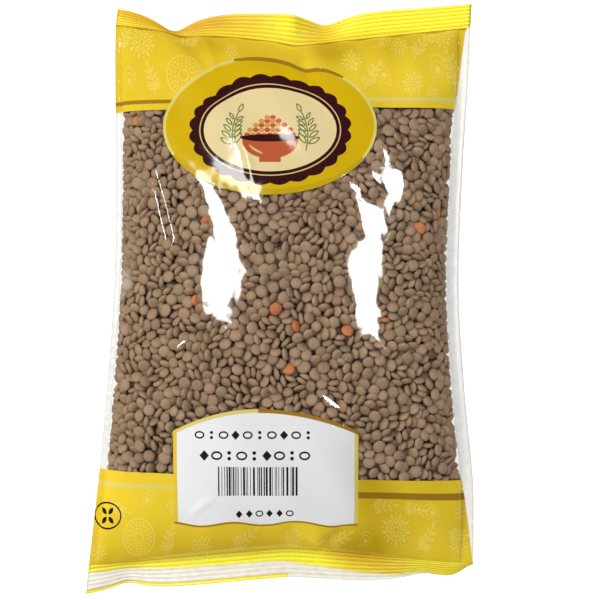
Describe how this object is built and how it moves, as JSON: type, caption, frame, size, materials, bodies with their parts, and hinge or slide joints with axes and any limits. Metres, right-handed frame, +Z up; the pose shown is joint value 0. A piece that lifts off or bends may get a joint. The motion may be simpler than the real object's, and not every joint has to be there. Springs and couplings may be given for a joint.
{
  "type": "bag of dry lentils",
  "caption": "Sealed clear pillow bag full of small brown dry lentils, with yellow printed ends, an oval panel and a pale label, lying on its back.",
  "frame": {"origin": "on the ground under the middle of the bag, at the bottom centre of its box", "axes": "+Z up, out of the printed front; +Y along the bag, from its bottom seal towards its top seal; +X across the bag, to the right as its front is read"},
  "size_m": [0.1675, 0.2563, 0.0488],
  "materials": {
    "lentil_bag": "gloss",
    "film": "gloss",
    "lentils": "matte"
  },
  "bodies": {
    "root": {"lentil_bag": "lentil_bag"}
  },
  "joints": []
}
